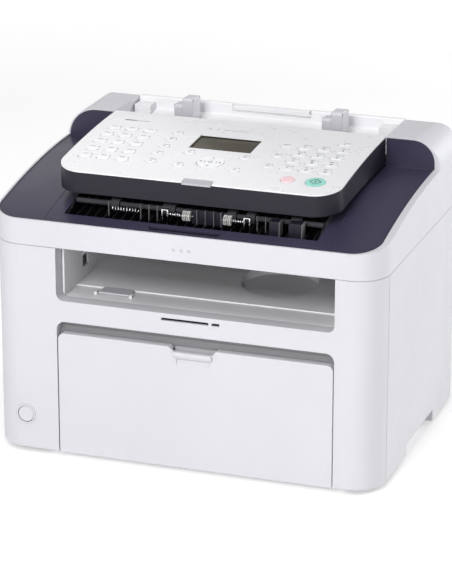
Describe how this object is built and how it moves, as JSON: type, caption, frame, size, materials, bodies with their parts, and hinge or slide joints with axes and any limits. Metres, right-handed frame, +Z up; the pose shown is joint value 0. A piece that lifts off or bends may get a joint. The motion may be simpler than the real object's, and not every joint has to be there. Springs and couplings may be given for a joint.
{
  "type": "fax machine",
  "caption": "Desktop laser fax with hinged control panel, document feeder, paper output bay, fold-down tray door, hinged upper unit and rear door.",
  "frame": {"origin": "on the floor, at the middle of the overall width and depth", "axes": "+X to the right seen from the front, +Y from the front to the rear, +Z up"},
  "size_m": [0.372, 0.29, 0.2908],
  "materials": {
    "cover_white": "fine satin texture, cool white",
    "panel_white": "smooth satin white",
    "deck_navy": "dark blue-violet, satin gloss",
    "panel_dark": "charcoal, satin",
    "guide_black": "black, semi matt",
    "tray_grey": "light grey, fine texture",
    "dark_plastic": "dark grey moulded plastic",
    "inner_grey": "mid grey moulded plastic",
    "steel": "zinc plated sheet and turned shafts",
    "rubber_black": "matt black rubber",
    "rubber_grey": "grey rubber sleeves on steel",
    "rubber_white": "off-white rubber roller",
    "drum_green": "glossy photoconductor coating",
    "circuit_board": "solder resist green with parts",
    "lcd_glass": "clear window over an olive display",
    "key_white": "smooth light key caps",
    "key_green": "teal start key",
    "key_red": "soft red stop key",
    "tab_clear": "translucent light grey",
    "gear_white": "natural acetal"
  },
  "bodies": {
    "lower_unit": {"base_frame": "tray_grey", "rubber_feet": "rubber_black", "front_cover": "cover_white", "left_side_cover": "cover_white", "right_side_cover": "cover_white", "rear_panel": "cover_white", "case_screws": "steel", "feed_tray": "inner_grey", "output_tray": "tray_grey", "left_frame": "steel", "right_frame": "steel", "main_motor": "steel", "toner_cartridge": "dark_plastic", "laser_scanner": "dark_plastic", "fuser_frame": "dark_plastic", "main_board": "circuit_board", "power_supply_board": "circuit_board", "mains_inlet": "dark_plastic", "line_jacks": "dark_plastic", "speaker": "dark_plastic"},
    "upper_unit": {"upper_cover": "cover_white", "hinge_pins": "steel", "top_deck": "deck_navy", "exit_frame": "deck_navy", "adf_lower_guide": "guide_black", "image_sensor": "dark_plastic", "document_tray": "tray_grey"},
    "operation_panel": {"panel_base": "panel_dark", "panel_cover": "panel_white", "lcd_window": "lcd_glass", "panel_board": "circuit_board", "panel_tab": "tab_clear"},
    "rear_access_door": {"rear_access_door": "cover_white"},
    "tray_door": {"tray_door": "cover_white"},
    "paper_guide_left": {"paper_guide_left": "inner_grey"},
    "paper_guide_right": {"paper_guide_right": "inner_grey"},
    "lift_plate": {"lift_plate": "steel"},
    "paper_stopper": {"paper_stopper": "cover_white"},
    "pickup_roller": {"pickup_roller": "rubber_grey"},
    "registration_roller": {"registration_roller": "rubber_grey"},
    "photosensitive_drum": {"photosensitive_drum": "drum_green"},
    "transfer_roller": {"transfer_roller": "rubber_black"},
    "heat_roller": {"heat_roller": "rubber_grey"},
    "pressure_roller": {"pressure_roller": "rubber_black"},
    "delivery_roller": {"delivery_roller": "rubber_grey"},
    "motor_pinion": {"motor_pinion": "gear_white"},
    "power_button": {"power_button": "cover_white"},
    "adf_eject_roller": {"adf_eject_roller": "rubber_grey"},
    "adf_feed_roller": {"adf_feed_roller": "rubber_grey"},
    "tray_flap": {"tray_flap": "tray_grey"},
    "document_guide_left": {"document_guide_left": "cover_white"},
    "document_guide_right": {"document_guide_right": "cover_white"},
    "one_touch_keys": {"one_touch_keys": "key_white"},
    "number_keys": {"number_keys": "key_white"},
    "function_keys": {"function_keys": "key_white"},
    "start_key": {"start_key": "key_green"},
    "stop_key": {"stop_key": "key_red"},
    "navigation_ring": {"navigation_ring": "key_white"},
    "ok_key": {"ok_key": "key_white"},
    "platen_roller": {"platen_roller": "rubber_white"}
  },
  "joints": [
    {"name": "upper_unit_hinge", "type": "hinge", "parent": "lower_unit", "child": "upper_unit", "pos_m": [0, 0.124, 0.2032], "axis": [-1, 0, 0], "range_deg": [0, 50]},
    {"name": "operation_panel_hinge", "type": "hinge", "parent": "upper_unit", "child": "operation_panel", "pos_m": [0, 0.058, 0.256], "axis": [-1, 0, 0], "range_deg": [0, 40]},
    {"name": "tray_door_hinge", "type": "hinge", "parent": "lower_unit", "child": "tray_door", "pos_m": [0, -0.136, 0.01], "axis": [1, 0, 0], "range_deg": [0, 90]},
    {"name": "rear_door_hinge", "type": "hinge", "parent": "lower_unit", "child": "rear_access_door", "pos_m": [0, 0.125, 0.02], "axis": [-1, 0, 0], "range_deg": [0, 80]},
    {"name": "paper_stopper_hinge", "type": "hinge", "parent": "lower_unit", "child": "paper_stopper", "pos_m": [0, -0.1124, 0.1545], "axis": [1, 0, 0], "range_deg": [0, 95]},
    {"name": "tray_flap_hinge", "type": "hinge", "parent": "upper_unit", "child": "tray_flap", "pos_m": [0, 0.119, 0.2756], "axis": [-1, 0, 0], "range_deg": [0, 110]},
    {"name": "document_guide_left_slide", "type": "slide", "parent": "upper_unit", "child": "document_guide_left", "axis": [-1, 0, 0], "range_m": [0, 0.04]},
    {"name": "document_guide_right_slide", "type": "slide", "parent": "upper_unit", "child": "document_guide_right", "axis": [1, 0, 0], "range_m": [0, 0.04]},
    {"name": "paper_guide_left_slide", "type": "slide", "parent": "lower_unit", "child": "paper_guide_left", "axis": [1, 0, 0], "range_m": [0, 0.03]},
    {"name": "paper_guide_right_slide", "type": "slide", "parent": "lower_unit", "child": "paper_guide_right", "axis": [-1, 0, 0], "range_m": [0, 0.03]},
    {"name": "lift_plate_hinge", "type": "hinge", "parent": "lower_unit", "child": "lift_plate", "pos_m": [0, -0.116, 0.0198], "axis": [1, 0, 0], "range_deg": [0, 8]},
    {"name": "heat_roller_spin", "type": "hinge", "parent": "lower_unit", "child": "heat_roller", "pos_m": [0, 0.066, 0.141], "axis": [1, 0, 0], "continuous": true},
    {"name": "photosensitive_drum_spin", "type": "hinge", "parent": "lower_unit", "child": "photosensitive_drum", "pos_m": [0, 0.048, 0.1], "axis": [1, 0, 0], "continuous": true},
    {"name": "pickup_roller_spin", "type": "hinge", "parent": "lower_unit", "child": "pickup_roller", "pos_m": [0, 0.02, 0.062], "axis": [1, 0, 0], "continuous": true},
    {"name": "motor_pinion_spin", "type": "hinge", "parent": "lower_unit", "child": "motor_pinion", "pos_m": [0, -0.02, 0.06], "axis": [1, 0, 0], "continuous": true},
    {"name": "registration_roller_spin", "type": "hinge", "parent": "lower_unit", "child": "registration_roller", "pos_m": [0, 0.062, 0.058], "axis": [1, 0, 0], "continuous": true},
    {"name": "transfer_roller_spin", "type": "hinge", "parent": "lower_unit", "child": "transfer_roller", "pos_m": [0, 0.0686, 0.1], "axis": [1, 0, 0], "continuous": true},
    {"name": "delivery_roller_spin", "type": "hinge", "parent": "lower_unit", "child": "delivery_roller", "pos_m": [0, 0.072, 0.186], "axis": [1, 0, 0], "continuous": true},
    {"name": "pressure_roller_spin", "type": "hinge", "parent": "lower_unit", "child": "pressure_roller", "pos_m": [0, 0.0906, 0.141], "axis": [1, 0, 0], "continuous": true},
    {"name": "platen_roller_spin", "type": "hinge", "parent": "operation_panel", "child": "platen_roller", "pos_m": [0, -0.04, 0.2506], "axis": [1, 0, 0], "continuous": true},
    {"name": "adf_feed_roller_spin", "type": "hinge", "parent": "upper_unit", "child": "adf_feed_roller", "pos_m": [0, 0.024, 0.2408], "axis": [1, 0, 0], "continuous": true},
    {"name": "adf_eject_roller_spin", "type": "hinge", "parent": "upper_unit", "child": "adf_eject_roller", "pos_m": [0, -0.097, 0.2365], "axis": [1, 0, 0], "continuous": true},
    {"name": "power_button_press", "type": "slide", "parent": "lower_unit", "child": "power_button", "axis": [0, 1, 0], "range_m": [0, 0.0015], "stiffness_N_per_m": 400, "springref_m": -0.001},
    {"name": "start_key_press", "type": "slide", "parent": "operation_panel", "child": "start_key", "axis": [0, 0, -1], "range_m": [0, 0.0008], "stiffness_N_per_m": 500, "springref_m": -0.001},
    {"name": "stop_key_press", "type": "slide", "parent": "operation_panel", "child": "stop_key", "axis": [0, 0, -1], "range_m": [0, 0.0008], "stiffness_N_per_m": 500, "springref_m": -0.001},
    {"name": "navigation_ring_press", "type": "slide", "parent": "operation_panel", "child": "navigation_ring", "axis": [0, 0, -1], "range_m": [0, 0.0008], "stiffness_N_per_m": 500, "springref_m": -0.001},
    {"name": "ok_key_press", "type": "slide", "parent": "operation_panel", "child": "ok_key", "axis": [0, 0, -1], "range_m": [0, 0.0008], "stiffness_N_per_m": 500, "springref_m": -0.001},
    {"name": "number_keys_press", "type": "slide", "parent": "operation_panel", "child": "number_keys", "axis": [0, 0, -1], "range_m": [0, 0.0008], "stiffness_N_per_m": 900, "springref_m": -0.001},
    {"name": "one_touch_keys_press", "type": "slide", "parent": "operation_panel", "child": "one_touch_keys", "axis": [0, 0, -1], "range_m": [0, 0.0008], "stiffness_N_per_m": 900, "springref_m": -0.001},
    {"name": "function_keys_press", "type": "slide", "parent": "operation_panel", "child": "function_keys", "axis": [0, 0, -1], "range_m": [0, 0.0008], "stiffness_N_per_m": 900, "springref_m": -0.001}
  ],
  "couplings": [
    {"joint": "document_guide_right_slide", "follows": "document_guide_left_slide", "ratio": 1},
    {"joint": "paper_guide_right_slide", "follows": "paper_guide_left_slide", "ratio": 1},
    {"joint": "photosensitive_drum_spin", "follows": "heat_roller_spin", "ratio": -2.3819},
    {"joint": "pickup_roller_spin", "follows": "heat_roller_spin", "ratio": 0.92816},
    {"joint": "motor_pinion_spin", "follows": "heat_roller_spin", "ratio": -5.2209},
    {"joint": "registration_roller_spin", "follows": "heat_roller_spin", "ratio": -3.8483},
    {"joint": "transfer_roller_spin", "follows": "heat_roller_spin", "ratio": 4.3822},
    {"joint": "delivery_roller_spin", "follows": "heat_roller_spin", "ratio": -2.2745},
    {"joint": "pressure_roller_spin", "follows": "heat_roller_spin", "ratio": -1},
    {"joint": "adf_feed_roller_spin", "follows": "platen_roller_spin", "ratio": -0.8},
    {"joint": "adf_eject_roller_spin", "follows": "platen_roller_spin", "ratio": -1.3091}
  ]
}
